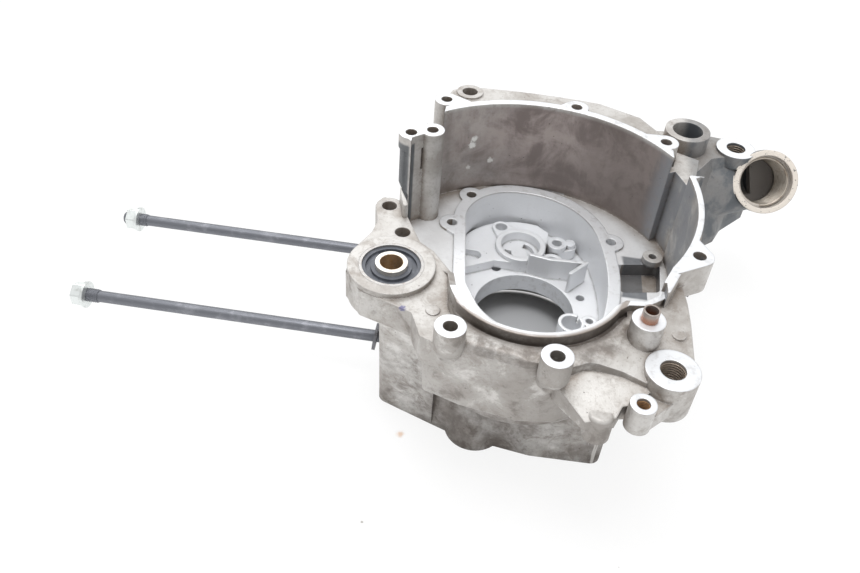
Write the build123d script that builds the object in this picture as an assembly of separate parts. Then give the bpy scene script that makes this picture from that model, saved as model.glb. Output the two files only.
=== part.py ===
from build123d import *
import math
import os

# Right-hand half of a small four-stroke scooter engine's crankcase, with what is still fitted to it:
# the hanger bush, two cylinder studs with their nuts, one loose washer and one hollow dowel.
# Millimetres. X runs from the cylinder (-X) to the back of the engine, +Z runs out along the crankshaft.
# Heights are given above the split face. The finished pieces are moved down at the end, so the
# origin lies on the crank axis in the middle of the bearing seat.

# Heights above the split face
floor_level = 59.5
gasket_level = 61.0
platform_level = 38.0
seat_top = 31.0
seat_bottom = 18.5
web_level = 103.0
lug_level = 106.0
land_level = 113.0
lip_level = 117.0
cover_level = 123.0
lug_bottom = 86.0
front_bottom = 64.0
front_draft = 5.0
front_edge_radius = 3.5
land_slope = 12.0
flap_slope = 21.0
flap_level = 104.5

# Crankshaft bearing seat and crank chamber
seat_diameter = 62.0
crank_chamber_radius = 50.0

# Wall thicknesses
wall = 5.0
floor_thickness = 5.0
lip_width = 3.2
ramp_start = -83.0
groove_depth = 2.5
groove_width = 2.6
skirt_wall = 5.5
rim_width = 7.5

# Cylinder deck and studs
deck_x = -80.0
stud_level = 27.5
stud_half_spacing = 38.5
stud_shank_diameter = 7.2
stud_thread_diameter = 8.0
stud_thread_length = 16.0
stud_out = 195.0
stud_in = 18.0
spigot_radius = 31.0
nut_flats = 13.0
nut_height = 8.0
nut_flange_diameter = 16.5
nut_flange_height = 1.6
lower_nut_end_gap = 0.6
upper_nut_overhang = 3.0
washer_diameter = 16.5
washer_thickness = 1.8
washer_hole = 8.4
washer_x = -86.5
washer_lean = 6.0

# Hanger bush
bush_x = -75.3
bush_y = -60.8
bush_outer_diameter = 34.0
bush_sleeve_wall = 1.6
bush_inner_sleeve_diameter = 17.0
bush_bore = 12.0
bush_clearance = 24.0
lug_radius = 23.0

# Bolt bosses on the cover plane
boss_diameter = 15.0
boss_hole = 7.0
dowel_diameter = 8.0
dowel_wall = 0.8
dowel_length = 14.0
dowel_stand = 6.0

hole_one = (-85.6, -8.0)
hole_two = (-74.4, -30.0)
web_hole_diameter = 8.6
boss_one = (-38.9, -116.5)
boss_two = (10.0, -125.6)
dowel_boss = (51.7, -94.0)
right_boss = (80.2, -41.5)
corner_boss = (70.5, 64.3)
back_boss = (16.2, 92.8)
left_wall_boss = (-65.6, 82.7)
outer_column = (-81.4, 39.5)
inner_column = (-69.3, 45.1)

ring_boss_back = (-52.6, 102.6)
ring_boss_stand = (86.9, 90.2)
boss_stand_bolt = (120.1, 92.8)
big_boss = (64.9, -111.5)
small_boss = (50.8, -132.8)
dome_boss = (34.0, -132.2)

# Oil filler neck
neck_face = (140.9, 78.3, 95.0)
neck_axis = (0.05, -0.85, 0.52)
neck_diameter = 40.0
neck_bore = 29.6
neck_length = 46.0
neck_ring = 6.0
neck_root = (98.0, 88.0, 78.0)
neck_mouth = 33.4
neck_mouth_depth = 5.0

# Side that carries the stand
stand_bottom = 52.0
stand_top = 106.0
stand_boss_level = 108.0
neck_bore_depth = 30.0

# Round marks of the die's ejector pins
ejector_mark = 7.0
plateau_mark = (-49.7, -87.9)
land_mark = (69.2, -88.2)

# Outer sizes of the other bosses
big_boss_diameter = 26.0
small_boss_diameter = 12.4
dome_boss_diameter = 13.4
dowel_boss_diameter = 16.0
inner_column_diameter = 14.3
back_ring_diameter = 17.0
stand_ring_diameter = 28.0
stand_bolt_diameter = 24.6

# Holes in the bosses
big_tapped = 12.4
small_tapped = 6.4
rim_tapped = 6.6
back_ring_hole = 10.0
stand_ring_hole = 19.0
stand_bolt_hole = 11.8
floor_screw_hole = 5.5
floor_drain_hole = 6.0
rim_lug_diameter = 16.0
rim_lugs = ((-52.2, 38.5), (-43.0, 70.7), (49.3, 39.8))

# Oil pump seat and the small features of the chamber floor
pump_centre = (-6.1, 49.9)
pump_boss_diameter = 33.0
pump_recess_diameter = 26.0
pump_recess_level = 34.0
ring_boss_inner = (17.7, 55.4)
blind_hole = (15.5, 41.4)
lug_inner = (26.3, 57.3)
inner_boss_level = 42.0
weir_level = 47.0
weir_thickness = 2.4
c_ring = (26.6, -31.0)
small_ring = (36.9, -27.7)
c_ring_level = 54.0
floor_screw = (35.3, 16.6)
floor_drain = (-20.2, 34.5)
pump_screw = (-20.2, 67.5)
pocket_depth = 9.0

# Well floor post
post = (74.0, 27.1)
post_level = 64.0


def prism(face, low, high):
    return extrude(Pos(0, 0, low) * face, high - low)


def rod(centre, diameter, low, high):
    place = Pos(centre[0], centre[1], low)
    return place * Cylinder(diameter / 2, high - low, align=(Align.CENTER, Align.CENTER, Align.MIN))


def taper(centre, low_diameter, high_diameter, low, high):
    place = Pos(centre[0], centre[1], low)
    base = (Align.CENTER, Align.CENTER, Align.MIN)
    return place * Cone(low_diameter / 2, high_diameter / 2, high - low, align=base)


def block(x_span, y_span, z_span):
    size = (x_span[1] - x_span[0], y_span[1] - y_span[0], z_span[1] - z_span[0])
    return Pos(x_span[0], y_span[0], z_span[0]) * Box(*size, align=(Align.MIN, Align.MIN, Align.MIN))


def disc(centre, diameter):
    return Pos(centre[0], centre[1], 0) * Circle(diameter / 2)


def rounded(points, radius):
    return make_face(FilletPolyline(*points, radius=radius, close=True))


def polygon(points):
    return make_face(Polyline(*points, close=True))


def enclosed(*curves):
    return make_face(Wire([edge for curve in curves for edge in curve.edges()]))


def bridge(centre_a, diameter_a, centre_b, diameter_b):
    return make_hull((disc(centre_a, diameter_a) + disc(centre_b, diameter_b)).edges())


def well_outline():
    back_left = (-64.5, 68.0)
    back_right = (73.5, 48.0)
    rim_low = (81.3, 30.7)
    rim_front = (66.0, -53.0)
    lip_right = (37.5, -81.5)
    lip_left = (-35.5, -92.0)
    return enclosed(
        ThreePointArc(back_left, (0.0, 88.5), back_right),
        Polyline(back_right, (77.5, 50.5), (85.0, 33.0), rim_low),
        ThreePointArc(rim_low, (83.2, -4.0), rim_front),
        Polyline(rim_front, (59.0, -69.5), (52.0, -75.0), (43.0, -76.3), lip_right),
        ThreePointArc(lip_right, (0.0, -106.4), lip_left),
        Polyline(lip_left, (-39.8, -82.0), (-42.7, -59.6), (-55.3, -42.7), (-63.9, -36.2)),
        Polyline((-63.9, -36.2), (-72.0, -20.0), (-80.0, -3.0), (-80.0, 34.0), (-72.0, 41.0), back_left),
    )


def rim_outline():
    left_top = (-43.4, 39.0)
    left_bottom = (-37.6, -16.0)
    back = (-9.7, 80.3)
    right = (41.5, 41.0)
    front_right = (43.5, -30.0)
    front_left = (-29.0, -34.0)
    return enclosed(
        Line(left_bottom, left_top),
        ThreePointArc(left_top, (-36.5, 68.5), back),
        ThreePointArc(back, (25.5, 68.3), right),
        ThreePointArc(right, (46.8, 4.0), front_right),
        ThreePointArc(front_right, (4.0, -53.0), front_left),
        Line(front_left, left_bottom),
    )


def skirt_outline():
    corners = [
        (deck_x, -63.5),
        (-50.0, -75.0),
        (-30.0, -82.5),
        (12.0, -88.5),
        (52.5, -87.5),
        (52.0, -60.0),
        (78.0, -15.0),
        (84.0, 40.0),
        (84.0, 85.0),
        (50.0, 102.0),
        (-50.0, 102.0),
        (deck_x, 75.0),
    ]
    return rounded(corners, 6.0)


def front_block_outline(spread):
    corners = [
        (-56.0, -50.0),
        (-50.5 - 0.9 * spread, -106.0 + 1.8 * spread),
        (-44.0 - 0.5 * spread, -107.5 - 0.5 * spread),
        (-31.0 - 0.2 * spread, -112.0 - spread),
        (-2.0, -117.0 - spread),
        (17.0 + 0.2 * spread, -114.5 - spread),
        (31.0 + 0.6 * spread, -106.5 - 0.8 * spread),
        (58.0, -85.0),
        (58.0, -50.0),
    ]
    return rounded(corners, 4.0)


def plateau_outline():
    corners = [
        (-45.0, -52.0),
        (-62.3, -30.5),
        (-73.5, -16.0),
        (-77.8, -2.5),
        (-90.5, -0.6),
        (-93.5, -9.2),
        (-89.5, -22.4),
        (-90.8, -33.1),
        (-97.0, -48.0),
        (-98.0, -68.0),
        (-88.0, -81.0),
        (-76.0, -85.0),
        (-60.0, -91.0),
        (-53.5, -106.0),
        (-32.0, -115.0),
        (-30.0, -90.0),
    ]
    return rounded(corners, 2.0)


def skirt():
    outline = skirt_outline()
    roof = floor_level - floor_thickness
    shell = prism(outline, 0, floor_level) - prism(offset(outline, -skirt_wall), -1, roof)
    foot = bridge((-21.3, -85.0), 12.0, (-21.3, -74.0), 34.0)
    crown = Pos(0, 0, 34.0) * bridge((-21.3, -77.0), 10.0, (-21.3, -72.0), 18.0)
    lug = loft([foot, crown], ruled=True)
    deck = block((deck_x, deck_x + 11.0), (-60.0, 72.0), (0, roof))
    for side in (-1, 1):
        place = Pos(deck_x, side * stud_half_spacing, stud_level) * Rot(0, 90, 0)
        deck += place * Cylinder(9.0, stud_in + 4.0, align=(Align.CENTER, Align.CENTER, Align.MIN))
    return shell + lug + deck


def cheek_outline(high):
    if high:
        front = [(-78.0, -80.0), (-75.0, -83.0), (-64.8, -84.9), (-55.8, -87.1), (-46.0, -92.0)]
    else:
        front = [(-79.5, -62.0), (-77.0, -64.6), (-65.0, -69.3), (-55.0, -73.0), (-46.0, -76.5)]
    return polygon([(deck_x + 2.0 * high, -50.0)] + front + [(-46.0, -50.0)])


def cheek(inset, low, high):
    bottom = Pos(0, 0, low) * offset(cheek_outline(False), -inset)
    top = Pos(0, 0, high) * offset(cheek_outline(True), -inset)
    return loft([bottom, top], ruled=True)


def crank_chamber():
    hub = prism(offset(rim_outline(), rim_width), seat_bottom, seat_top)
    ring = rod((0, 0), 2 * (crank_chamber_radius + wall), 0, seat_bottom)
    ring -= rod((0, 0), 2 * crank_chamber_radius, -1, seat_bottom)
    rim = prism(offset(rim_outline(), rim_width), seat_bottom, gasket_level)
    rim -= prism(rim_outline(), seat_top, gasket_level + 1)
    return hub + ring + rim


def chamber_details():
    platform_edge = enclosed(
        ThreePointArc((-46.0, 50.0), (-24.0, 73.5), (4.0, 76.5)),
        Polyline((4.0, 76.5), (12.0, 70.0), (10.0, 34.0), (-22.0, 34.0), (-46.0, 20.0), (-46.0, 50.0)),
    )
    body = prism(platform_edge & rim_outline(), seat_top, platform_level)
    body += rod(pump_centre, pump_boss_diameter, seat_top, platform_level + 3.0)
    body += prism(bridge(pump_centre, 24.0, pump_screw, 12.0), seat_top, platform_level + 2.0)
    body += prism(bridge(ring_boss_inner, 13.0, lug_inner, 9.0), seat_top, inner_boss_level - 3.0)
    body += rod(ring_boss_inner, 13.0, seat_top, inner_boss_level)
    body += rod(lug_inner, 7.0, seat_top, inner_boss_level)
    body += rod(blind_hole, 14.0, seat_top, platform_level)
    body -= rod(pump_centre, pump_recess_diameter, pump_recess_level, weir_level)
    body -= prism(pump_ports(), seat_top - 3.0, weir_level)
    body -= rod(ring_boss_inner, 6.6, seat_top + 1, weir_level)
    body -= rod(blind_hole, 8.5, platform_level - 5, weir_level)
    body -= rod(pump_screw, 8.0, platform_level - 6, weir_level)
    body -= prism(SlotOverall(16.0, 9.0).moved(Location((-39.0, 36.8))), seat_top + 2, weir_level)
    return body


def pump_ports():
    x, y = pump_centre
    ring = disc(pump_centre, 20.0) - disc(pump_centre, 11.0)
    left = polygon([(x, y), (x - 16.0, y + 3.0), (x - 11.0, y - 13.0)])
    right = polygon([(x, y), (x + 4.0, y + 15.0), (x + 16.0, y - 5.0)])
    return ring & (left + right)


def weir():
    leg = weir_thickness
    path = ((0.6, 34.2), (13.4, 31.9), (36.5, 33.2), (26.6, 21.0))
    body = prism(bridge(path[0], leg, path[1], leg), seat_top - 1, weir_level)
    for start, end in zip(path[1:], path[2:]):
        body += prism(bridge(start, leg, end, leg), seat_top - 1, weir_level)
    return body


def rings():
    body = rod(c_ring, 15.6, seat_top - 1, c_ring_level) + rod(small_ring, 9.0, seat_top - 1, c_ring_level)
    body -= rod(c_ring, 11.6, c_ring_level - 14.0, c_ring_level + 1)
    body -= rod(small_ring, 4.4, c_ring_level - 8.0, c_ring_level + 1)
    slot = polygon([c_ring, (c_ring[0] + 5.0, c_ring[1] + 9.0), (c_ring[0] + 7.5, c_ring[1] + 7.5)])
    return body - prism(slot, c_ring_level - 4.0, c_ring_level + 1)


def floor_pocket():
    return rounded([(52.6, 20.1), (79.5, 25.8), (77.9, -0.4), (53.8, -5.4)], 3.0)


def well():
    inside = well_outline()
    body = prism(offset(inside, wall), floor_level - floor_thickness, cover_level)
    outer_part = offset(inside, 2 * wall) - offset(inside, lip_width)
    thin = prism(outer_part, land_level - groove_depth, cover_level + 1)
    lip_zone = block((-44.0, 62.0), (-115.0, -66.0), (0, cover_level + 1))
    rim_zone = block((66.0, 95.0), (-58.0, 31.0), (0, cover_level + 1))
    lip_top = block((-60.0, 62.0), (-115.0, -66.0), (lip_level, cover_level + 1))
    low_corner = block((74.0, 95.0), (31.5, 56.0), (land_level - 1.0, cover_level + 1))
    side = block((-90.0, -65.0), (36.0, 75.5), (98.0, cover_level + 1))
    duct = block((-90.0, deck_x + 0.1), (-8.0, 33.0), (floor_level, cover_level + 1))
    return body - (thin & lip_zone) - (thin & rim_zone) - lip_top - low_corner - side - duct


def above_land():
    slope = math.radians(land_slope)
    down = (0.512 * math.sin(slope), -0.859 * math.sin(slope), math.cos(slope))
    hinge = Plane(origin=(3.1, -111.2, land_level), x_dir=(0.859, 0.512, 0.0), z_dir=down)
    return hinge * Box(260.0, 90.0, 40.0, align=(Align.CENTER, Align.MAX, Align.MIN))


def above_flap():
    hinge = Pos(40.0, -115.0, flap_level) * Rot(flap_slope, 0, -7.0)
    return hinge * Box(120.0, 60.0, 40.0, align=(Align.CENTER, Align.MAX, Align.MIN))


def front_block():
    low = Pos(0, 0, front_bottom) * front_block_outline(0.0)
    high = Pos(0, 0, land_level) * front_block_outline(front_draft)
    body = loft([low, high], ruled=True)
    rim = [edge for edge in body.faces().sort_by(Axis.Z)[-1].edges() if edge.center().Y < -104.0]
    room = prism(offset(front_block_outline(0.0), -wall), front_bottom - 4.0, land_level - 12.0)
    return fillet(rim, front_edge_radius) - room - above_land()


def lip_ramp():
    inside = well_outline()
    band = prism(offset(inside, lip_width) - inside, web_level - 1, lip_level)
    band &= block((-60.0, -36.0), (ramp_start, -56.0), (0, 200))
    slope = math.degrees(math.atan2(lip_level - web_level, -57.0 - ramp_start))
    above = Pos(-70.0, ramp_start, lip_level) * Rot(-slope, 0, 0)
    return band - above * Box(60.0, 60.0, 40.0, align=(Align.MIN, Align.MIN, Align.MIN))


def plateau_details():
    fin = prism(bridge((-79.6, -2.3), 2.4, (-75.5, -16.7), 2.4), web_level - 1.0, land_level - 1.0)
    return fin + rod(plateau_mark, ejector_mark, web_level - 1.0, web_level + 0.6)


def bearing_lug():
    plate = prism(plateau_outline(), lug_bottom, web_level)
    lug = rod((bush_x, bush_y), 2 * lug_radius, lug_bottom, lug_level)
    bosses = rod(hole_one, 15.0, 92.0, web_level + 1.0) + rod(hole_two, 15.0, 92.0, web_level + 1.0)
    return plate + lug + bosses


def front_plate():
    land = polygon([(8.0, -100.0), (10.0, -119.0), (20.5, -114.5), (31.0, -113.9), (42.0, -115.2), (53.0, -118.5),
                    (66.0, -114.0), (76.5, -104.0), (75.5, -80.0), (73.0, -56.0), (84.0, -36.0), (60.0, -50.0),
                    (40.0, -70.0)])
    flap = polygon([(9.0, -112.0), (12.0, -122.5), (27.0, -138.0), (41.0, -134.0), (43.5, -128.5), (50.0, -127.0),
                    (66.0, -108.0), (40.0, -95.0)])
    body = prism(land, 92.0, land_level) - above_land()
    body += prism(flap, 90.0, flap_level) - above_flap()
    body += rod(big_boss, big_boss_diameter, 88.0, 110.0) + rod(small_boss, small_boss_diameter, 93.0, 108.0)
    body += prism(bridge(big_boss, 20.0, small_boss, 10.0), 92.0, 101.0)
    dome = rod(dome_boss, dome_boss_diameter, 82.0, 98.0)
    body += fillet(dome.edges().sort_by(Axis.Z)[-1], 2.5) + rod(dowel_boss, dowel_boss_diameter, 98.0, cover_level)
    body += rod(land_mark, ejector_mark, 100.0, 110.6)
    notch = rounded([(38.5, -84.5), (43.0, -78.5), (50.0, -77.5), (50.5, -81.0), (44.0, -89.0)], 1.5)
    return body - prism(notch, 104.0, cover_level)


def back_columns():
    return rod(ring_boss_back, back_ring_diameter, 60.0, 112.0) + rod(back_boss, boss_diameter, 74.0, 112.0)


def back_flange():
    flange = enclosed(
        Polyline((63.0, 66.0), (70.0, 80.0), (57.2, 97.7), (31.8, 109.2)),
        ThreePointArc((31.8, 109.2), (-5.0, 112.0), (-53.4, 110.4)),
        Polyline((-53.4, 110.4), (-64.0, 104.0), (-68.0, 88.0), (-60.0, 70.0), (63.0, 66.0)),
    )
    body = prism(flange, 108.0, 118.0) + prism(offset(flange, -3.0), 40.0, 112.0)
    return body - prism(offset(flange, -3.0 - wall), 39.0, 112.0 - wall)


def front_boss(centre):
    root = Pos(centre[0], centre[1] + 14.0, 86.0) * Circle(5.0)
    head = Pos(centre[0], centre[1], 110.0) * Circle(boss_diameter / 2)
    return rod(centre, boss_diameter, 110.0, cover_level) + loft([root, head], ruled=True)


def bosses():
    body = prism(bridge(right_boss, boss_diameter, (74.0, -20.0), 4.0), 104.0, cover_level)
    body += prism(bridge(right_boss, boss_diameter, (64.0, -58.0), 4.0), 104.0, cover_level)
    body += prism(bridge(corner_boss, boss_diameter, (60.0, 68.0), 6.0), 60.0, cover_level)
    body += prism(bridge(back_boss, boss_diameter, (6.0, 90.0), 4.0), 108.0, cover_level)
    body += prism(bridge(left_wall_boss, boss_diameter, (-52.0, 82.0), 4.0), 60.0, cover_level)
    body += rod(ring_boss_back, back_ring_diameter, 60.0, 119.2)
    body += rod(outer_column, boss_diameter, 113.5, cover_level) + rod(outer_column, 13.0, 88.0, 113.5)
    body += taper(outer_column, 6.0, 13.0, 78.0, 88.0)
    body += rod(inner_column, inner_column_diameter, floor_level, cover_level)
    strip = polygon([(-84.0, 34.0), (-78.5, 28.5), (-75.8, 28.5), (-73.5, 51.6), (-78.0, 54.0), (-86.0, 46.0)])
    body += prism(strip, 84.0, cover_level)
    body += prism(strip, floor_level, 84.0) & block((deck_x - 0.5, 0), (0, 80.0), (0, 100.0))
    return body


def stand_side():
    ground = rounded([(80.0, 26.0), (98.8, 35.7), (107.0, 56.0), (118.0, 66.0), (124.0, 79.0), (141.0, 98.0),
                      (141.0, 122.0), (100.0, 120.0), (60.0, 104.0), (60.0, 60.0)], 4.0)
    top = stand_top_outline()
    body = prism(ground, stand_bottom, stand_bottom + 6.0)
    body += loft([Pos(0, 0, stand_bottom + 6.0) * ground, Pos(0, 0, stand_top) * top], ruled=True)
    body += prism(polygon([(76.0, 52.0), (84.0, 36.0), (89.0, 44.0), (93.0, 66.0), (80.0, 72.0)]), 90.0, 112.0)
    body += rod(ring_boss_stand, stand_ring_diameter, 60.0, 118.0)
    body += rod(boss_stand_bolt, stand_bolt_diameter, 100.0, stand_boss_level)
    body += taper(boss_stand_bolt, 14.0, stand_bolt_diameter, 90.0, 100.0)
    return body


def stand_hollow():
    body = prism(offset(stand_top_outline(), -6.0), stand_bottom + 6.0, stand_top - 6.0)
    body -= rod(ring_boss_stand, stand_ring_diameter + 2.0, stand_bottom, stand_top) + rod(boss_stand_bolt, stand_bolt_diameter, 80.0, stand_top)
    body -= rod(corner_boss, boss_diameter + 2.0, stand_bottom, stand_top)
    return body + block((66.0, 78.0), (68.0, 88.0), (floor_level - 20.0, stand_bottom + 7.0))


def stand_top_outline():
    return rounded([(81.0, 40.0), (89.0, 44.0), (93.0, 62.0), (104.0, 80.0), (124.0, 88.0), (128.0, 96.0),
                    (122.0, 104.0), (96.0, 108.0), (60.0, 104.0), (60.0, 62.0)], 3.0)


def neck_place():
    return Plane(origin=neck_face, z_dir=neck_axis)


def neck():
    base = (Align.CENTER, Align.CENTER, Align.MAX)
    head = Cylinder(neck_diameter / 2, neck_ring, align=base)
    stem = Pos(0, 0, -neck_ring) * Cylinder(neck_diameter / 2 - 1.5, neck_length - neck_ring, align=base)
    return neck_place() * (head + stem) + horn(neck_diameter + 8.0, neck_diameter - 4.0, 22.0)


def horn(root_diameter, end_diameter, depth):
    start = Vector(*neck_face) - Vector(*neck_axis).normalized() * depth
    run = Vector(*neck_root) - start
    low = (Align.CENTER, Align.CENTER, Align.MIN)
    return Plane(origin=neck_root, z_dir=-run) * Cone(root_diameter / 2, end_diameter / 2, run.length, align=low)


def drill(body):
    body -= rod((0, 0), seat_diameter, seat_bottom - 1, seat_top + 1)
    body -= rod((0, 0), seat_diameter + 3.0, seat_top, lip_level)
    for centre in (boss_one, boss_two, right_boss, corner_boss, back_boss, left_wall_boss, outer_column):
        body -= rod(centre, boss_hole, 80.0, cover_level + 1)
    body -= rod(inner_column, boss_hole, 80.0, cover_level + 1)
    body -= rod(hole_one, web_hole_diameter, lug_bottom - 1, web_level + 5)
    body -= rod(hole_two, web_hole_diameter, lug_bottom - 1, web_level + 5)
    body -= rod((bush_x, bush_y), bush_outer_diameter, lug_bottom, lug_level + 1)
    body -= rod((bush_x, bush_y), bush_clearance, lug_bottom - 8.0, lug_bottom + 1)
    body -= rod(ring_boss_back, back_ring_hole, 96.0, cover_level)
    body -= rod(ring_boss_stand, stand_ring_hole, 70.0, cover_level)
    body -= rod(boss_stand_bolt, stand_bolt_hole, 84.0, cover_level)
    body -= rod(big_boss, big_tapped, 80.0, cover_level)
    body -= rod(small_boss, small_tapped, 80.0, cover_level)
    body -= rod(dowel_boss, dowel_diameter, cover_level - dowel_length + dowel_stand, cover_level + 1)
    for centre in rim_lugs:
        body -= rod(centre, rim_tapped, gasket_level - 14.0, gasket_level + 1)
    base = (Align.CENTER, Align.CENTER, Align.MAX)
    body -= neck_place() * Cylinder(neck_bore / 2, neck_bore_depth, align=base)
    body -= neck_place() * Cylinder(neck_mouth / 2, neck_mouth_depth, align=base)
    body -= rod(post, 5.0, floor_level - 1.0, post_level + 1)
    body -= rod(floor_screw, floor_screw_hole, seat_bottom + 2, seat_top + 1)
    body -= rod(floor_drain, floor_drain_hole, seat_bottom + 2, seat_top + 1)
    for side in (-1, 1):
        stud_hole = Pos(deck_x - 1, side * stud_half_spacing, stud_level) * Rot(0, 90, 0)
        hole_base = (Align.CENTER, Align.CENTER, Align.MIN)
        body -= stud_hole * Cylinder(stud_thread_diameter / 2, stud_in + 1, align=hole_base)
    spigot = Cylinder(spigot_radius, 40.0, align=(Align.CENTER, Align.CENTER, Align.MIN))
    return body - Pos(deck_x - 1, 0, 0) * Rot(0, 90, 0) * spigot


def casting():
    inside = well_outline()
    body = skirt() + well() + front_block() + bearing_lug() + front_plate() + back_flange() + bosses()
    body += stand_side() + neck() + cheek(0.0, 0.0, lug_bottom + 9.0) + back_columns()
    beside_lip = polygon([(-120.0, -125.0), (-33.0, -125.0), (-32.0, -103.0), (-38.5, -94.5), (-43.2, -82.5),
                          (-39.5, -82.0), (-42.0, -60.0), (-30.0, 3.0), (-120.0, 3.0)])
    body -= prism(beside_lip, web_level, cover_level + 10)
    groove = offset(inside, lip_width + groove_width) - offset(inside, lip_width)
    body -= prism(groove, land_level - groove_depth, cover_level) & block((-48.0, 44.0), (-116.0, -80.0), (0, 200))
    body += rod((bush_x, bush_y), 2 * lug_radius, lug_bottom, lug_level)
    body += front_boss(boss_one) + front_boss(boss_two) + lip_ramp() + plateau_details()
    body -= prism(inside, floor_level, cover_level + 5)
    body += rod(inner_column, inner_column_diameter, floor_level, cover_level)
    roof = floor_level - floor_thickness
    body -= cheek(wall, -1.0, lug_bottom - 3.0) - prism(offset(inside, wall), 0, cover_level)
    body -= stand_hollow() - prism(offset(inside, wall), 0, cover_level) + horn(22.0, 20.0, neck_bore_depth - 1.0)
    body -= prism(offset(skirt_outline(), -skirt_wall), -1, roof)
    body += skirt() + prism(offset(floor_pocket(), 4.0), floor_level - 14.0, floor_level - 1.0)
    body -= prism(floor_pocket(), floor_level - pocket_depth, floor_level + 1.0)
    body -= prism(rim_outline(), seat_top, cover_level)
    body += crank_chamber()
    for centre in rim_lugs:
        inward = (0.9 * centre[0], 0.9 * centre[1])
        body += prism(bridge(centre, rim_lug_diameter, inward, rim_lug_diameter), 40.0, gasket_level)
    body -= prism(rim_outline(), seat_top, cover_level)
    body += chamber_details() + weir() + rings() + rod(post, 12.0, floor_level, post_level)
    body = drill(body)
    return body


def ring_piece(outer, inner, low, high):
    return rod((bush_x, bush_y), outer, low, high) - rod((bush_x, bush_y), inner, low - 1, high + 1)


def bush_outer_sleeve():
    return ring_piece(bush_outer_diameter, bush_outer_diameter - 2 * bush_sleeve_wall, lug_bottom, lug_level)


def bush_rubber():
    outside = bush_outer_diameter - 2 * bush_sleeve_wall
    body = ring_piece(outside, bush_inner_sleeve_diameter, lug_bottom + 1, lug_level - 1.2)
    return body - ring_piece(27.0, 21.5, lug_level - 3.0, lug_level)


def bush_inner_sleeve():
    return ring_piece(bush_inner_sleeve_diameter, bush_bore, lug_bottom - 1.5, lug_level + 1.5)


def stud(side):
    start = deck_x + stud_in
    length = stud_in + stud_out
    place = Pos(start, side * stud_half_spacing, stud_level) * Rot(0, -90, 0)
    base = (Align.CENTER, Align.CENTER, Align.MIN)
    body = Cylinder(stud_shank_diameter / 2, length, align=base)
    body += Cylinder(stud_thread_diameter / 2, stud_in + 2.0, align=base)
    body += Pos(0, 0, length - stud_thread_length) * Cylinder(stud_thread_diameter / 2, stud_thread_length, align=base)
    return place * chamfer(body.edges().sort_by(Axis.Z)[-1:] + body.edges().sort_by(Axis.Z)[:1], 0.8)


def nut(side, end_x):
    place = Pos(end_x, side * stud_half_spacing, stud_level) * Rot(0, 90, 0)
    base = (Align.CENTER, Align.CENTER, Align.MIN)
    hexagon = extrude(RegularPolygon(nut_flats / 2, 6, major_radius=False), nut_height)
    hexagon &= Cylinder(nut_flats / 1.732 - 0.2, nut_height, align=base)
    flange = Cylinder(nut_flange_diameter / 2, nut_flange_height, align=base)
    body = hexagon + Pos(0, 0, nut_height - nut_flange_height) * flange
    body -= Cylinder(stud_thread_diameter / 2, nut_height, align=base)
    return place * body


def loose_washer():
    place = Pos(washer_x, -stud_half_spacing, stud_level) * Rot(0, 90 + washer_lean, 0)
    place = Pos(0, 0, -(washer_hole - stud_shank_diameter) / 2 + 0.2) * place
    body = Cylinder(washer_diameter / 2, washer_thickness) - Cylinder(washer_hole / 2, washer_thickness + 1)
    return place * body


def dowel_sleeve():
    high = cover_level + dowel_stand
    low = high - dowel_length
    return rod(dowel_boss, dowel_diameter, low, high) - rod(dowel_boss, dowel_diameter - 2 * dowel_wall, low - 1, high + 1)


pieces = {
    "crankcase_half": casting(),
    "bush_outer_sleeve": bush_outer_sleeve(),
    "bush_rubber": bush_rubber(),
    "bush_inner_sleeve": bush_inner_sleeve(),
    "upper_stud": stud(1),
    "lower_stud": stud(-1),
    "upper_nut": nut(1, deck_x - stud_out + upper_nut_overhang),
    "lower_nut": nut(-1, deck_x - stud_out + lower_nut_end_gap),
    "loose_washer": loose_washer(),
    "dowel_sleeve": dowel_sleeve(),
}

os.makedirs("parts", exist_ok=True)
for name, shape in pieces.items():
    print(name, round(shape.volume), len(shape.solids()), shape.is_valid)
    export_step(Pos(0, 0, -(seat_top + seat_bottom) / 2) * shape, "parts/" + name + ".step")
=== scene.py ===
import math
from types import SimpleNamespace

import bpy
from mathutils import Matrix, Vector


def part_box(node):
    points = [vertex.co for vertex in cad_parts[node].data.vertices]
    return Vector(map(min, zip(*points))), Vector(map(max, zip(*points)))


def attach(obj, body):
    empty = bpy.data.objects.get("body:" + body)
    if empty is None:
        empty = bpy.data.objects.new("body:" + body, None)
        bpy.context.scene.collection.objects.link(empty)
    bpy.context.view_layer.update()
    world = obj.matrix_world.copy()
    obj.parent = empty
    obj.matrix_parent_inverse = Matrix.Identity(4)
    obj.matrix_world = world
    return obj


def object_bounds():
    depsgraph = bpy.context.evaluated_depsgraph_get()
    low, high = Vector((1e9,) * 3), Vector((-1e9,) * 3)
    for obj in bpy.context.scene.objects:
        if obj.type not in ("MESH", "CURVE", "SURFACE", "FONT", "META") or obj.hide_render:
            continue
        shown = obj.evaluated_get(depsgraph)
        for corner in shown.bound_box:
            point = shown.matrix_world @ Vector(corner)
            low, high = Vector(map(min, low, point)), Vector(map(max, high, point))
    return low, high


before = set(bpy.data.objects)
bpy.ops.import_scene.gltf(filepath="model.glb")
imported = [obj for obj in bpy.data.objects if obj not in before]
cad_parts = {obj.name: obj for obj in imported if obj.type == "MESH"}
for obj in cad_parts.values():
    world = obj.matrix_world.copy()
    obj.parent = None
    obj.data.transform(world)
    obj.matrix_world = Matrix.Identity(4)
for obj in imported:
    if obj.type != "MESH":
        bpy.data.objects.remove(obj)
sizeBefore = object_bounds()
print("stage: frame loaded")

mm = 0.001                            # the scene is in metres, sizes below are in millimetres
splitLevel = sizeBefore[0][2] / mm    # the casting lies on its split face


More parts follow.
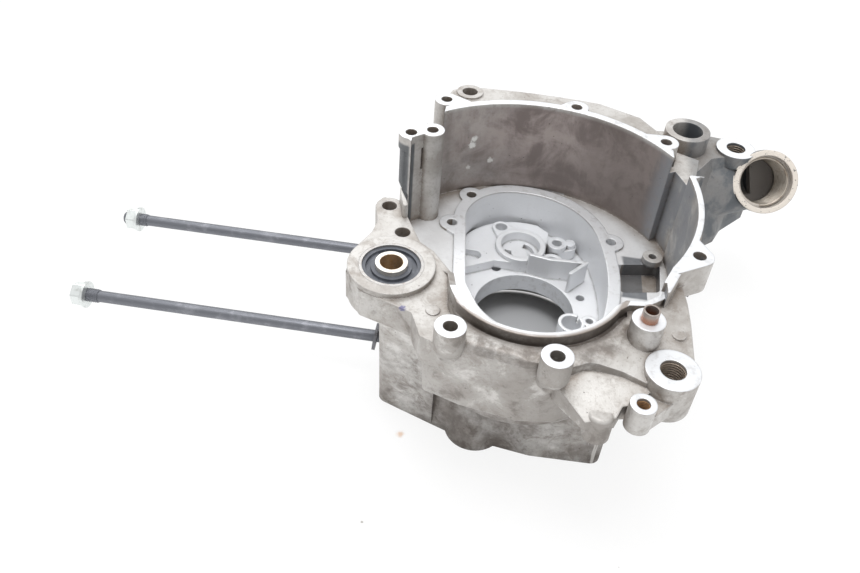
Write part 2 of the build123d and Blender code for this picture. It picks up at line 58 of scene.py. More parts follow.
def srgb(text):
    # hex colour turned into the linear values a shader wants
    parts = [int(text[i:i + 2], 16) / 255 for i in (0, 2, 4)]
    return tuple(c / 12.92 if c <= 0.04045 else ((c + 0.055) / 1.055) ** 2.4 for c in parts) + (1.0,)


def add(tree, kind, inputs=None, output=0, **settings):
    # one node with its settings; an input is a link, a constant or a hex colour
    made = tree.nodes.new(kind)
    for name, value in settings.items():
        setattr(made, name, value)
    for socket, value in (inputs or {}).items():
        if isinstance(value, bpy.types.NodeSocket):
            tree.links.new(value, made.inputs[socket])
        else:
            made.inputs[socket].default_value = srgb(value) if isinstance(value, str) else value
    return made.outputs[output] if len(made.outputs) else None


def newMaterial(name):
    made = bpy.data.materials.new(name)
    made.use_nodes = True
    made.node_tree.nodes.clear()
    return made, made.node_tree


# A limit is a mask or a number, a hard one such as (height, ">", 60.0), or a soft one such as
# (height, where it starts, where it is full), with two strengths behind if they aren't 0 and 1.
sharp = {"<": "LESS_THAN", ">": "GREATER_THAN"}


def zone(tree, *limits):
    # how far a point lies inside all of the limits
    result = None
    for limit in limits:
        if isinstance(limit, tuple) and limit[1] in sharp:
            limit = add(tree, "ShaderNodeMath", {0: limit[0], 1: limit[2]}, operation=sharp[limit[1]])
        elif isinstance(limit, tuple):
            limit = add(tree, "ShaderNodeMapRange", dict(enumerate(limit)), interpolation_type="SMOOTHSTEP")
        if result is not None:
            limit = add(tree, "ShaderNodeMath", {0: result, 1: limit}, operation="MULTIPLY")
        result = limit
    return result


def within(tree, value, low, high, soft):
    # full between low and high, fading out over soft on both sides
    return zone(tree, (value, low - soft, low), (value, high + soft, high))


def strongest(tree, *masks):
    result = masks[0]
    for mask in masks[1:]:
        result = add(tree, "ShaderNodeMath", {0: result, 1: mask}, operation="MAXIMUM")
    return result


def weighted(tree, base, *parts):
    # a value with shares of others added to it; a part is (value, share)
    for value, share in parts:
        base = add(tree, "ShaderNodeMath", {0: value, 1: share, 2: base}, operation="MULTIPLY_ADD")
    return base


def between(tree, mask, start, end):
    # a number that goes from start to end as the mask fills
    return weighted(tree, start, (mask, end - start))


def lay(tree, color, hue, *limits):
    # a hue laid over the colour inside the limits
    return add(tree, "ShaderNodeMix", {0: zone(tree, *limits), 6: color, 7: hue}, 2, data_type="RGBA")


def noises(tree, place, wanted):
    # patterns by name: width of a detail in mm, detail, roughness, distortion, squeeze upright
    made = {}
    for name, (width, detail, rough, bent, squeeze) in wanted.items():
        spot = place
        if squeeze != 1:
            spot = add(tree, "ShaderNodeVectorMath", {0: place, 1: (1, 1, squeeze)}, operation="MULTIPLY")
        made[name] = add(tree, "ShaderNodeTexNoise", {
            "Vector": spot, "Scale": 1 / (width * mm), "Detail": detail, "Roughness": rough,
            "Distortion": bent}, "Fac")
    return made


def millimetres(tree, place):
    # x, y and the height above the split face, in mm
    apart = add(tree, "ShaderNodeSeparateXYZ", {0: place}).node.outputs
    starts = (0.0, 0.0, -splitLevel)
    return [weighted(tree, start, (out, 1 / mm)) for start, out in zip(starts, apart)]


def reach(tree, x, y, centre):
    # distance in plan from a point, mm
    flat = add(tree, "ShaderNodeCombineXYZ", {0: x, 1: y})
    point = (centre[0], centre[1], 0.0)
    return add(tree, "ShaderNodeVectorMath", {0: flat, 1: point}, "Value", operation="DISTANCE")


def middle(node):
    # middle of a CAD node's box, mm
    low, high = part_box(node)
    return tuple((a + b) / 2 / mm for a, b in zip(low, high))


def finishMaterial(tree, inputs):
    shader = add(tree, "ShaderNodeBsdfPrincipled", inputs)
    add(tree, "ShaderNodeOutputMaterial", {"Surface": shader})


# the casting: aluminium, rough where cast and bright where a cutter has been
castSettings = {
    "clean": "c2c0bd",          # bare skin of the casting
    "grey": "a09b96",
    "stain": "8b837c",
    "edge": "dcdad7",           # rubbed edges, and a painted highlight along edges
    "satin": "eceef1",          # washed room inside the low rim
    "machined": "e6e8eb",
    # dark dirt, and painted shade in tight creases and in the groove outside the lip
    "dirtAndShade": "4f4741",
    # brown dust, and painted shade in the hollows
    "dustAndShade": "807265",
    "oil": "a89d99",            # rear wall, from light to dark
    "oilDark": "7b706d",
    "oilBrown": "665c58",
    "sideWall": "85888d",
    "skirtDark": "5f5853",
    "scratch": "cfccc8",
    "cool": "4b5055",           # grime on the stand side, and painted shade in the hollow on the left
    "well": "5f646a",
    "cream": "dcd4ca",          # filler neck: mouth, wall and deeper in
    "neckWall": "c9c2ba",
    "neckDeep": "8d8782",
    "frontDirt": "8d8883",
    "wallDirt": "5e5650",
    "lipWorn": "8f847b",
    "rust": "94522a",
    "rustPale": "94785c",
    "ink": "5b5a86",
    "scuff": "e9e9e6",
    "scuffDull": "e2e2de",
    # width of a detail in mm, detail, roughness, distortion, squeeze upright
    "patterns": {
        "broad": (30.0, 5.0, 0.6, 0.0, 1),
        "small": (6.0, 6.0, 0.65, 0.0, 1),
        "speck": (1.6, 4.0, 0.7, 0.0, 1),
        "grain": (0.9, 3.0, 0.6, 0.0, 1),
        "patch": (11.0, 8.0, 0.72, 0.6, 1),
        "blotch": (15.0, 8.0, 0.7, 0.4, 1),
        "cloud": (22.0, 8.0, 0.65, 0.5, 1),
        "pit": (9.0, 4.0, 0.55, 0.0, 1),
        "runs": (5.0, 5.0, 0.6, 0.0, 0.18),
        "dragged": (1.1, 2.0, 0.5, 0.0, 0.03),
    },
    "metallic": (0.45, 0.12),   # clean and dirty
    "roughness": (0.42, 0.2),   # as cast and machined
    "relief": (0.55, 0.06),     # as cast and machined
    "reliefHeight": 0.28,       # mm, as all sizes below
    "poreSpacing": 4.5,
    "edgeRadius": 1.2,
    "hollowDepth": 14.0,        # how far the dust and painted shade in the hollows look for walls round it
    "nookDepth": 3.5,
    # heights of machined faces above the split face, how exactly they are met and how level they lie
    "machinedLevels": (123.0, 117.0, 61.0, 110.0, 108.0, 54.0, 47.0, 42.0),
    "levelSlack": 0.15,
    "levelUp": 0.995,
    "seat": (31.3, 31.05),      # just over the bearing seat's radius and top
    "roomFloor": 18.6,
    "underRim": 59.3,
    "rimTop": 60.9,
    "roomSize": (56.0, 76.0),   # half axes of the oval that fits the low rim
    "roomMiddle": 14.0,         # its middle in y
    "lipCentre": (-2.6, -61.8),
    "lipRadius": 44.7,
    # filler neck: middle of its mouth in mm from the origin, and the way it points
    "neckMouth": (140.9, 78.3, 70.25),
    "neckAxis": (0.0501, -0.852, 0.5212),
    "neckRadius": 20.6,
    "neckBore": 17.2,
}


def readCasting(tree):
    # what the zones of the casting share: places in mm, normals, patterns and common masks
    s = castSettings
    place = add(tree, "ShaderNodeTexCoord", None, "Object")
    x, y, z = millimetres(tree, place)
    surface = add(tree, "ShaderNodeNewGeometry").node.outputs
    at = SimpleNamespace(place=place, x=x, y=y, z=z, normal=surface["Normal"],
                         **noises(tree, place, s["patterns"]))
    at.up = add(tree, "ShaderNodeSeparateXYZ", {0: surface["True Normal"]}, "Z")
    at.soft = add(tree, "ShaderNodeBevel", {"Radius": s["edgeRadius"] * mm}, samples=6)
    facing = add(tree, "ShaderNodeVectorMath", {0: at.normal, 1: place}, "Value", operation="DOT_PRODUCT")
    at.inside = zone(tree, (facing, "<", 0.0))
    at.patchy = zone(tree, (at.patch, 0.5, 0.66))
    at.radius = reach(tree, x, y, (0.0, 0.0))
    fromLip = reach(tree, x, y, s["lipCentre"])
    at.outside = add(tree, "ShaderNodeMath", {0: fromLip, 1: s["lipRadius"]}, operation="SUBTRACT")

    halfWidth, halfLength = s["roomSize"]
    flat = add(tree, "ShaderNodeCombineXYZ", {0: x, 1: y})
    share = add(tree, "ShaderNodeVectorMath", {
        0: flat, 1: (1 / halfWidth, 1 / halfLength, 0), 2: (0, -s["roomMiddle"] / halfLength, 0)},
        operation="MULTIPLY_ADD")
    at.oval = add(tree, "ShaderNodeVectorMath", {0: share, 1: share}, "Value", operation="DOT_PRODUCT")

    levels = [add(tree, "ShaderNodeMath", {0: z, 1: level, 2: s["levelSlack"]}, operation="COMPARE")
              for level in s["machinedLevels"]]
    faces = zone(tree, (at.up, ">", s["levelUp"]), strongest(tree, *levels))
    seatRadius, seatTop = s["seat"]
    at.machined = strongest(tree, faces, zone(tree, (at.radius, "<", seatRadius), (z, "<", seatTop)))
    return at


def castSkin(tree, at):
    # broad cloudy patches and smaller blotches
    s = castSettings
    color = lay(tree, s["clean"], s["grey"], (at.broad, 0.38, 0.66))
    color = lay(tree, color, s["grey"], (at.small, 0.5, 0.72), 0.5)
    color = lay(tree, color, s["stain"], (at.speck, 0.53, 0.68), 0.42)
    return lay(tree, color, s["stain"], at.patchy, 0.6)


def hollowsAndEdges(tree, at, color):
    # brown dust and painted shade lie in the hollows; edges are painted lighter, as rubbed wear and a painted
    # highlight
    s = castSettings
    free = add(tree, "ShaderNodeAmbientOcclusion", {"Distance": s["hollowDepth"] * mm}, "AO",
               samples=6, only_local=True)
    color = lay(tree, color, s["dustAndShade"], (free, 0.88, 0.4), (at.small, 0.3, 0.6, 0.35, 0.75))
    # painted highlight with rubbed wear: lighter where the rounded normal bends at edges
    bend = add(tree, "ShaderNodeVectorMath", {0: at.soft, 1: at.normal}, "Value", operation="DOT_PRODUCT")
    return lay(tree, color, s["edge"], (bend, 0.99, 0.9), (at.speck, 0.35, 0.6), 0.6)


def washedRoom(tree, at, color):
    # the crank and pump room inside the low rim is clean and satin, and so is the floor near it
    s = castSettings
    level = zone(tree, (at.up, ">", 0.9))
    top = between(tree, level, s["rimTop"], s["underRim"])
    color = lay(tree, color, s["satin"], (at.oval, "<", 1.0), (at.z, ">", s["roomFloor"]),
                (at.z, "<", top), 0.86)
    onFloor = within(tree, at.z, s["underRim"], s["underRim"] + 0.4, 0.1)
    return lay(tree, color, s["satin"], onFloor, level, (at.radius, 92.0, 76.0), 0.6)


def frontWalls(tree, at, color):
    # dusty walls below the cover face, with clouded dirt and rubbed spots
    s = castSettings
    along = weighted(tree, at.x, (at.broad, 40.0))
    color = lay(tree, color, s["frontDirt"], (at.y, -78.0, -92.0), (at.up, 0.75, 0.3), (at.z, 58.0, 66.0),
                (along, -30.0, 50.0, 0.35, 0.8), (at.x, 50.0, 40.0, 0.1, 1.0))
    wall = zone(tree, (at.up, 0.5, 0.2), (at.y, -50.0, -70.0))
    color = lay(tree, color, s["wallDirt"], wall, (at.blotch, 0.52, 0.66), 0.5)
    return lay(tree, color, s["edge"], wall, (at.blotch, 0.46, 0.34), 0.5)


def chamberWalls(tree, at, color):
    # oily rear wall, cleaner at its left end and browner low down; the right wall is cooler
    s = castSettings
    chamber = zone(tree, at.inside, (at.radius, 101.0, 97.0), within(tree, at.z, 62.0, 119.5, 3.0))
    along = weighted(tree, at.x, (at.broad, 90.0))
    height = weighted(tree, at.z, (at.broad, 24.0))
    cloudy = weighted(tree, 0.0, (at.runs, 0.2), (at.cloud, 0.8))
    stained = lay(tree, s["oil"], s["oilDark"], (cloudy, 0.4, 0.6))
    stained = lay(tree, stained, s["oilBrown"], (along, 35.0, 105.0, 0.0, 0.6))
    stained = lay(tree, stained, s["oilBrown"], (height, 112.0, 82.0, 0.0, 0.45))
    rear = zone(tree, chamber, (at.y, 40.0, 56.0), (along, -25.0, 35.0, 0.55, 0.97))
    side = zone(tree, chamber, (at.x, 50.0, 58.0), (at.y, 60.0, 50.0), (cloudy, 0.38, 0.58, 0.1, 0.85))
    color = lay(tree, color, stained, rear)
    return lay(tree, color, s["sideWall"], side), strongest(tree, rear, side)


def darkHollows(tree, at, color):
    # glossy dark well in the floor, and painted shade in the hollow on the left
    s = castSettings
    notOuter = strongest(tree, at.inside, zone(tree, (at.x, "<", 70.0)))
    well = zone(tree, within(tree, at.x, 51.0, 79.5, 0.2), within(tree, at.y, -8.0, 28.0, 2.0),
                (at.z, 61.0, 60.0), (at.z, ">", s["roomFloor"]), (at.oval, 1.0, 1.08), notOuter)
    color = lay(tree, color, s["well"], well, (at.broad, 0.3, 0.7, 0.95, 0.6))
    # painted shade: the walls of the hollow on the left are darkened
    color = lay(tree, color, s["cool"], within(tree, at.x, -88.0, -79.0, 1.0),
                within(tree, at.y, 32.0, 58.0, 2.0), within(tree, at.z, 62.0, 117.0, 2.0),
                (at.up, 0.6, 0.3), 0.85)
    return color, well


def skirtGrime(tree, at, color):
    # skirt below the front block: darkest left of the middle, scratched at its right corner
    s = castSettings
    skirt = zone(tree, (at.z, 66.0, 54.0), (at.y, -52.0, -60.0))
    heavy = strongest(tree, within(tree, at.x, -38.0, -2.0, 22.0), zone(tree, (at.x, 36.0, 46.0)))
    spotty = zone(tree, (at.small, 0.3, 0.65))
    amount = weighted(tree, 0.0, (heavy, 0.4), (spotty, 0.35), (at.patchy, 0.3))
    color = lay(tree, color, s["skirtDark"], skirt, amount)
    color = lay(tree, color, s["scratch"], skirt, within(tree, at.x, 43.0, 50.0, 1.0),
                (at.z, 27.0, 22.0), (at.dragged, 0.56, 0.62), 0.8)
    return color, skirt


def standGrime(tree, at, color):
    # stand side and filler neck are grimy and cooler
    mottled = strongest(tree, zone(tree, (at.broad, 0.6, 0.45, 0.62, 0.98)), zone(tree, at.patchy, 0.85))
    grimy = zone(tree, (at.x, 83.0, 90.0), (at.y, 5.0, 25.0), mottled, (at.up, 0.9, 0.99, 1.0, 0.55))
    return lay(tree, color, castSettings["cool"], grimy), grimy


def turnedNeck(tree, at, color):
    # pale turned mouth of the filler neck, with chips, and oil deeper in
    s = castSettings
    mouth = tuple(v * mm for v in s["neckMouth"])
    axis = s["neckAxis"]
    offset = add(tree, "ShaderNodeVectorMath", {0: at.place, 1: mouth}, operation="SUBTRACT")
    over = add(tree, "ShaderNodeVectorMath", {0: offset, 1: axis}, "Value", operation="DOT_PRODUCT")
    across = add(tree, "ShaderNodeVectorMath", {0: offset, 1: axis}, operation="CROSS_PRODUCT")
    away = add(tree, "ShaderNodeVectorMath", {0: across}, "Value", operation="LENGTH")
    over, away = (weighted(tree, 0.0, (value, 1 / mm)) for value in (over, away))
    near = zone(tree, (away, "<", s["neckRadius"]), within(tree, over, -34.0, 1.0, 0.1))
    color = lay(tree, color, s["cream"], near, (over, ">", -0.7), (at.speck, 0.66, 0.6), 0.95)
    deep = lay(tree, s["neckWall"], s["neckDeep"], (over, -5.5, -12.0))
    return lay(tree, color, deep, near, (away, "<", s["neckBore"]), (over, "<", -0.7), 0.92)


def lipGroove(tree, at, color):
    # painted shade with some dirt in the groove outside the lip, and a darker haze of painted shade beside it
    low = zone(tree, (at.y, -74.0, -80.0), within(tree, at.z, 108.0, 116.6, 1.0))
    fill = zone(tree, low, within(tree, at.outside, 3.4, 6.4, 3.2), (at.small, 0.3, 0.6, 0.4, 0.75))
    haze = zone(tree, low, within(tree, at.outside, 3.0, 12.0, 9.0), (at.small, 0.35, 0.65), 0.55)
    return lay(tree, color, castSettings["dirtAndShade"], strongest(tree, fill, haze)), fill


def nooksAndPores(tree, at, color):
    # painted shade: darker in tight corners and creases, mottled; and dark pores
    s = castSettings
    free = add(tree, "ShaderNodeAmbientOcclusion", {"Distance": s["nookDepth"] * mm}, "AO",
               samples=6, only_local=True)
    color = lay(tree, color, s["dirtAndShade"], (free, 0.72, 0.3), (at.small, 0.25, 0.6, 0.35, 0.85))
    cells = add(tree, "ShaderNodeTexVoronoi", {"Vector": at.place, "Scale": 1 / (s["poreSpacing"] * mm)},
                "Distance", feature="F1")
    pores = zone(tree, (cells, 0.11, 0.06), (at.pit, 0.52, 0.6))
    return lay(tree, color, s["dirtAndShade"], pores, 0.75), pores


def machinedFaces(tree, at, color):
    # cutter-bright faces with faint wear, and the browned front of the lip
    s = castSettings
    bright = lay(tree, s["machined"], s["grey"], (at.small, 0.5, 0.72), 0.4)
    color = lay(tree, color, bright, at.machined, 0.95)
    lipTop = zone(tree, within(tree, at.z, 116.6, 117.3, 0.2), (at.outside, 5.2, 4.6))
    return lay(tree, color, s["lipWorn"], (at.y, -66.0, -76.0), (at.outside, 0.6, 2.8),
               (at.small, 0.25, 0.5, 0.6, 0.9), lipTop)


# marks that stand out: hue, strength, radius, and x, y and height above the split face in mm
castMarks = (
    ("ink", 0.8, 2.2, (-64.9, -88.9, 103.0)),           # dot of a pen on the land
    ("stain", 0.8, 7.0, (-48.0, -70.0, 114.0)),         # left end of the lip
    ("rust", 0.85, 3.0, (-49.0, -66.0, 113.0)),
    ("rust", 0.6, 2.4, (-46.0, -76.0, 116.0)),
    ("dirtAndShade", 0.9, 2.6, (43.7, -75.8, 113.0)),           # notch beside the dowel
    ("dirtAndShade", 0.75, 6.0, (85.0, -18.0, 99.0)),           # outside of the right wall
    ("dirtAndShade", 0.6, 5.0, (77.0, -26.0, 94.0)),
    ("rustPale", 0.7, 3.2, (38.0, -108.5, 105.0)),      # foot of the flap
    ("rustPale", 0.7, 3.0, (29.0, -110.0, 105.0)),
    ("rustPale", 0.6, 3.0, (46.0, -107.5, 105.0)),
    ("scuff", 0.9, 3.0, (-46.6, 79.1, 94.0)),           # pale scuffs on the rear wall
    ("scuff", 0.9, 2.6, (-45.6, 79.6, 98.5)),
    ("scuffDull", 0.7, 2.6, (-33.9, 84.2, 81.0)),
    ("scuffDull", 0.6, 2.0, (-47.6, 78.7, 77.0)),
)


def marks(tree, at, color):
    for hue, strength, size, (x, y, height) in castMarks:
        spot = tuple(v * mm for v in (x, y, height + splitLevel))
        away = add(tree, "ShaderNodeVectorMath", {0: at.place, 1: spot}, "Value", operation="DISTANCE")
        ragged = weighted(tree, -size, (away, 1 / mm), (at.speck, 2 * size))
        color = lay(tree, color, castSettings[hue], (ragged, size, 0.5 * size), strength)
    return color


def castAluminium():
    # grey die-cast aluminium alloy with machined joint faces, oil stains and grime, painted shade in creases,
    # hollows and the lip groove, and painted edge highlights
    s = castSettings
    made, tree = newMaterial("die-cast aluminium alloy")
    at = readCasting(tree)
    color = hollowsAndEdges(tree, at, castSkin(tree, at))
    color = washedRoom(tree, at, color)
    color = frontWalls(tree, at, color)
    color, oily = chamberWalls(tree, at, color)
    color, well = darkHollows(tree, at, color)
    color, skirt = skirtGrime(tree, at, color)
    color, grimy = standGrime(tree, at, color)
    color = turnedNeck(tree, at, color)
    color, grooveShadeAndDirt = lipGroove(tree, at, color)
    color, pores = nooksAndPores(tree, at, color)
    color = marks(tree, at, machinedFaces(tree, at, color))

    # bare metal shines through least where it is dirty and in the painted groove shade; machined faces and
    # the well are smoother
    dulled = strongest(tree, oily, grooveShadeAndDirt, grimy, skirt)
    metal = between(tree, dulled, *s["metallic"])
    smooth = strongest(tree, at.machined, zone(tree, well, 0.9))
    rough = weighted(tree, between(tree, smooth, *s["roughness"]), (at.grain, 0.25))

    # relief: sandy skin with pores, faint on machined faces, on rounded edges
    relief = weighted(tree, 0.0, (at.grain, 0.6), (at.small, 0.6), (pores, -0.8))
    strength = between(tree, at.machined, *s["relief"])
    bump = add(tree, "ShaderNodeBump", {"Distance": s["reliefHeight"] * mm, "Strength": strength,
                                        "Height": relief, "Normal": at.soft})
    finishMaterial(tree, {"Base Color": color, "Roughness": rough, "Metallic": metal, "Normal": bump})
    return made


# metals and rubber of the small pieces: hue, worn hue, roughness, metallic, how much is worn and
# width of the wear in mm
metalSettings = {
    # grey steel, browned in blotches
    "bare steel bush ring": ("a8a6a4", "6e5a4a", 0.38, 0.8, 0.5, 3.0),
    # brighter, with rust in the bore
    "turned steel inner sleeve": ("c9c6c0", "80604a", 0.32, 0.7, 0.35, 4.0),
    # thin-walled steel, reddish with rust
    "thin steel dowel": ("a39a94", "6b4433", 0.4, 0.7, 0.6, 4.0),
    # moulded, dull and greyed with age
    "aged natural rubber": ("54575e", "83868e", 0.5, 0.0, 0.6, 7.0),
    # dark, rubbed grey in long patches
    "phosphated stud steel": ("6b6d73", "93949a", 0.42, 0.6, 0.5, 9.0),
    # pale and a little cloudy
    "zinc-plated steel": ("cfd3d2", "9a9c96", 0.33, 0.7, 0.5, 4.0),
    # stamped steel gone dark
    "dull steel washer": ("77777b", "55504c", 0.4, 0.9, 0.6, 4.0),
    # cut aluminium, from pale in the neck to oil-brown and rusty in the holes
    "turned aluminium thread": ("b9b1a6", "8a7763", 0.4, 0.5, 0.6, 4.0),
    "oil-browned aluminium thread": ("9c8e80", "5f5044", 0.4, 0.5, 0.7, 3.0),
    "rust-stained thread": ("b58a5e", "7d4724", 0.55, 0.2, 0.7, 2.0),
}
# rust in a round zone: hue, node whose middle it has, radius and top in mm
rustSettings = {
    "turned steel inner sleeve": ("b89a74", "bush_inner_sleeve", 6.4, 300.0),
    "thin steel dowel": ("9c6a50", "dowel_sleeve", 5.0, 128.3),
}


def plainMetal(name):
    hue, worn, rough, metallic, amount, width = metalSettings[name]
    made, tree = newMaterial(name)
    place = add(tree, "ShaderNodeTexCoord", None, "Object")
    found = noises(tree, place, {"wear": (width, 5.0, 0.6, 0.0, 1), "fine": (0.6, 3.0, 0.6, 0.0, 1)})
    color = lay(tree, hue, worn, (found["wear"], 0.5, 0.72), amount)
    if name in rustSettings:
        rust, node, radius, top = rustSettings[name]
        x, y, z = millimetres(tree, place)
        away = reach(tree, x, y, middle(node))
        color = lay(tree, color, rust, (away, radius, radius - 0.4), (z, top, top - 4.0),
                    (found["fine"], 0.3, 0.6, 0.6, 0.95))
    soft = add(tree, "ShaderNodeBevel", {"Radius": 0.3 * mm}, samples=4)
    bump = add(tree, "ShaderNodeBump", {"Distance": 0.05 * mm, "Strength": 0.5,
                                        "Height": found["fine"], "Normal": soft})
    roughness = weighted(tree, rough - 0.1, (found["fine"], 0.2))
    finishMaterial(tree, {"Base Color": color, "Roughness": roughness, "Metallic": metallic, "Normal": bump})
    return made


nodeMaterials = {
    "crankcase_half": "die-cast aluminium alloy",
    "bush_outer_sleeve": "bare steel bush ring",
    "bush_rubber": "aged natural rubber",
    "bush_inner_sleeve": "turned steel inner sleeve",
    "upper_stud": "phosphated stud steel",
    "lower_stud": "phosphated stud steel",
    "upper_nut": "zinc-plated steel",
    "lower_nut": "zinc-plated steel",
    "loose_washer": "dull steel washer",
    "dowel_sleeve": "thin steel dowel",
}
finishes = {name: plainMetal(name) for name in metalSettings}
finishes["die-cast aluminium alloy"] = castAluminium()
for node, finish in nodeMaterials.items():
    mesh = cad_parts[node].data
    mesh.materials.clear()
    mesh.materials.append(finishes[finish])
print("stage: materials on the CAD nodes")

# screw threads: one ridge wound along a spiral, for holes and stud ends; sizes and the lowest
# point in mm, and the way it climbs
upperAxis, lowerAxis = middle("upper_stud")[1:], middle("lower_stud")[1:]
neckThread = {"finish": "turned aluminium thread", "slot": "cast_aluminium", "radius": 14.9, "pitch": 2.6,
              "ridge": 0.75, "turns": 8.5, "start": (139.6, 100.4, 56.7), "along": castSettings["neckAxis"]}
bossThread = {"finish": "oil-browned aluminium thread", "slot": "cast_aluminium", "pitch": 1.5, "ridge": 0.4,
              "along": (0, 0, 1)}
smallThread = {"finish": "rust-stained thread", "slot": "cast_aluminium", "radius": 3.25, "pitch": 1.0,
               "ridge": 0.3, "turns": 14.0, "start": (50.8, -132.8, 68.0), "along": (0, 0, 1)}
studThread = {"finish": "phosphated stud steel", "slot": "black_stud", "radius": 3.95, "pitch": 1.25,
              "ridge": 0.3, "along": (-1, 0, 0)}
threadSettings = {
    "filler_neck_thread": neckThread,
    "big_boss_thread": {**bossThread, "radius": 6.25, "turns": 14.0, "start": (64.9, -111.5, 63.0)},
    "small_boss_thread": smallThread,
    "stand_boss_thread": {**bossThread, "radius": 5.95, "turns": 12.0, "start": (120.1, 92.8, 64.0)},
    "lower_stud_thread": {**studThread, "turns": 5.6, "start": (-259.2, *lowerAxis)},
    "upper_stud_thread": {**studThread, "turns": 3.6, "start": (-259.2, *upperAxis)},
    "upper_stud_end_thread": {**studThread, "turns": 1.7, "start": (-272.3, *upperAxis)},
}


def threadGroup():
    group = bpy.data.node_groups.new("screw thread", "GeometryNodeTree")
    face = group.interface
    face.new_socket(name="Geometry", in_out="OUTPUT", socket_type="NodeSocketGeometry")
    for name in ("Radius", "Height", "Turns", "Ridge"):
        face.new_socket(name=name, in_out="INPUT", socket_type="NodeSocketFloat")
    face.new_socket(name="Metal", in_out="INPUT", socket_type="NodeSocketMaterial")
    given = add(group, "NodeGroupInput").node.outputs
    spiral = add(group, "GeometryNodeCurveSpiral", {
        "Resolution": 40, "Rotations": given["Turns"], "Start Radius": given["Radius"],
        "End Radius": given["Radius"], "Height": given["Height"]})
    level = add(group, "GeometryNodeSetCurveNormal", {"Curve": spiral}, mode="Z_UP")
    ridge = add(group, "GeometryNodeCurvePrimitiveCircle", {"Resolution": 6, "Radius": given["Ridge"]})
    wound = add(group, "GeometryNodeCurveToMesh", {"Curve": level, "Profile Curve": ridge, "Fill Caps": True})
    real = add(group, "GeometryNodeRealizeInstances", {"Geometry": wound})
    clad = add(group, "GeometryNodeSetMaterial", {"Geometry": real, "Material": given["Metal"]})
    add(group, "NodeGroupOutput", {"Geometry": clad})
    return group


def windThread(group, name, s):
    holder = bpy.data.objects.new(name, bpy.data.meshes.new(name))
    bpy.context.collection.objects.link(holder)
    modifier = holder.modifiers.new("thread", "NODES")
    modifier.node_group = group
    wanted = {"Radius": s["radius"] * mm, "Height": s["pitch"] * s["turns"] * mm, "Turns": s["turns"],
              "Ridge": s["ridge"] * mm, "Metal": finishes[s["finish"]]}
    for item in group.interface.items_tree:
        if item.in_out == "INPUT":
            modifier[item.identifier] = wanted[item.name]
    graph = bpy.context.evaluated_depsgraph_get()
    wound = bpy.data.meshes.new_from_object(holder.evaluated_get(graph))
    holder.modifiers.clear()
    holder.data = wound
    turn = Vector(s["along"]).to_track_quat("Z", "X").to_matrix().to_4x4()
    wound.transform(Matrix.Translation(Vector(s["start"]) * mm) @ turn)
    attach(holder, "root")


threads = threadGroup()
for name, settings in threadSettings.items():
    windThread(threads, name, settings)
print("stage: threads wound")

# white table and soft light
tableSettings = {
    "white": "f6f6f6",
    "whiter": "fbfbfb",
    "under": "a9aaac",          # grey patch under the crank bore, for the shade seen through it
    "underEdge": (47.0, 51.0),  # radii between which the patch ends, mm
    "glow": 0.85,               # how far the camera sees the table as plain white
    "size": 6000.0,
    # marks on the table: hue, strength, radius and place in mm
    "marks": (("eab98a", 0.75, 3.6, (-62.6, -87.0)), ("7d7870", 0.95, 1.5, (-72.8, -147.4)),
              ("b0aca6", 0.7, 0.7, (62.0, -150.0)), ("bcb8b2", 0.7, 0.6, (30.0, -165.0))),
}


def whiteTable():
    s = tableSettings
    made, tree = newMaterial("white table top")
    place = add(tree, "ShaderNodeTexCoord", None, "Object")
    x, y, z = millimetres(tree, place)
    found = noises(tree, place, {"wide": (160.0, 2.0, 0.55, 0.0, 1), "edge": (3.0, 4.0, 0.55, 0.0, 1)})
    clear = zone(tree, (reach(tree, x, y, (0.0, 0.0)), *s["underEdge"]))
    tone = lay(tree, s["white"], s["whiter"], found["wide"])
    tone = lay(tree, s["under"], tone, clear)
    spots = []
    for hue, strength, size, centre in s["marks"]:
        ragged = weighted(tree, reach(tree, x, y, centre), (found["edge"], size))
        spots.append(zone(tree, (ragged, 1.5 * size, 0.6 * size), strength))
        tone = lay(tree, tone, hue, spots[-1])
    lit = add(tree, "ShaderNodeBsdfPrincipled", {"Roughness": 0.6, "Base Color": tone})
    glow = add(tree, "ShaderNodeEmission", {"Color": (1, 1, 1, 1), "Strength": 1.0})
    camera = add(tree, "ShaderNodeLightPath", None, "Is Camera Ray")
    unmarked = weighted(tree, 1.0, (strongest(tree, *spots), -1.0))
    seen = zone(tree, camera, clear, unmarked, s["glow"])
    mixed = add(tree, "ShaderNodeMixShader", {0: seen, 1: lit, 2: glow})
    add(tree, "ShaderNodeOutputMaterial", {"Surface": mixed})
    bpy.ops.mesh.primitive_plane_add(size=s["size"] * mm, location=(0, 0, splitLevel * mm))
    table = bpy.context.object
    table.name = "table"
    table.data.materials.append(made)
    return table


lightSettings = {
    "around": 0.86,             # the room's own light
    "seen": 1.05,               # how bright the camera sees the room
    # place and size in metres, power in watts
    "window": ((-0.6, 1.0, 1.3), (1.2, 0.9), 9.0),
    "ceiling": ((-0.15, -0.15, 1.7), (0.9, 0.7), 17.0),
}


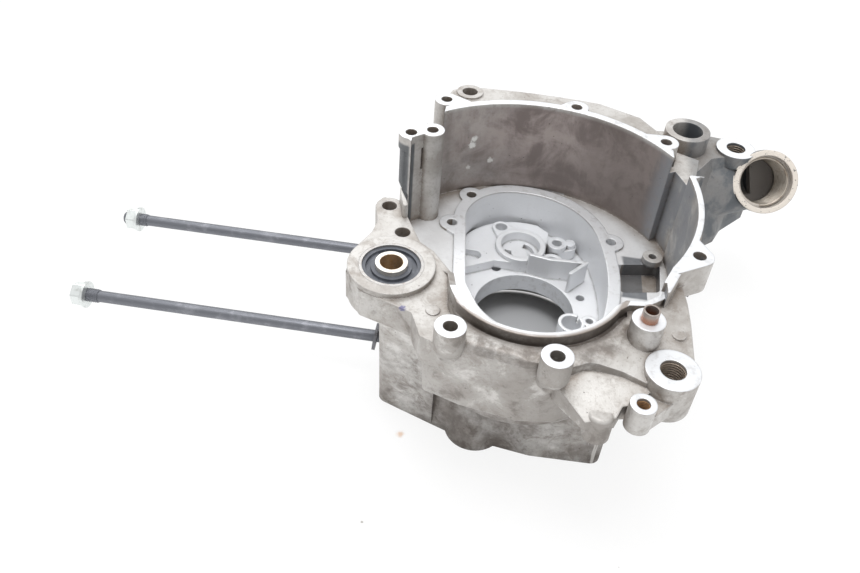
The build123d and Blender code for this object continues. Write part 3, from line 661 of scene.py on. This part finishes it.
def whiteRoom():
    world = bpy.data.worlds.new("soft white room")
    bpy.context.scene.world = world
    world.use_nodes = True
    tree = world.node_tree
    tree.nodes.clear()
    white = (1, 1, 1, 1)
    around = add(tree, "ShaderNodeBackground", {"Color": white, "Strength": lightSettings["around"]})
    seen = add(tree, "ShaderNodeBackground", {"Color": white, "Strength": lightSettings["seen"]})
    camera = add(tree, "ShaderNodeLightPath", None, "Is Camera Ray")
    mixed = add(tree, "ShaderNodeMixShader", {0: camera, 1: around, 2: seen})
    add(tree, "ShaderNodeOutputWorld", {"Surface": mixed})


def softLight(name, place, size, power):
    light = bpy.data.lights.new(name, "AREA")
    light.shape = "RECTANGLE"
    light.size, light.size_y = size
    light.energy = power
    lamp = bpy.data.objects.new(name, light)
    bpy.context.collection.objects.link(lamp)
    turn = (-Vector(place)).to_track_quat("-Z", "Y").to_matrix().to_4x4()
    lamp.matrix_world = Matrix.Translation(place) @ turn


whiteTable()
whiteRoom()
for name in ("window", "ceiling"):
    softLight(name, *lightSettings[name])
print("stage: light set")

# camera where the photograph was taken from
cameraSettings = {
    "place": (-26.55, -382.99, 365.25),   # mm
    "heading": 4.9392,                    # degrees, as the next two
    "pitch": 42.46,
    "roll": 4.597,
    "lens": 34.916,
}


def addCamera():
    s = cameraSettings
    heading, pitch, roll = (math.radians(s[k]) for k in ("heading", "pitch", "roll"))
    level = Vector((-math.sin(heading), math.cos(heading), 0))
    ahead = math.cos(pitch) * level - math.sin(pitch) * Vector((0, 0, 1))
    side = Vector((math.cos(heading), math.sin(heading), 0))
    down = ahead.cross(side)
    right = math.cos(roll) * side - math.sin(roll) * down
    below = math.sin(roll) * side + math.cos(roll) * down
    data = bpy.data.cameras.new("photographer")
    data.lens = s["lens"]
    data.sensor_width = 36.0
    data.clip_start = 0.01
    made = bpy.data.objects.new("photographer", data)
    bpy.context.collection.objects.link(made)
    turn = Matrix((right, -below, -ahead)).transposed().to_4x4()
    made.matrix_world = Matrix.Translation(Vector(s["place"]) * mm) @ turn
    return made


bpy.context.scene.camera = addCamera()
bpy.context.scene.view_settings.view_transform = "Standard"
print("stage: camera set")
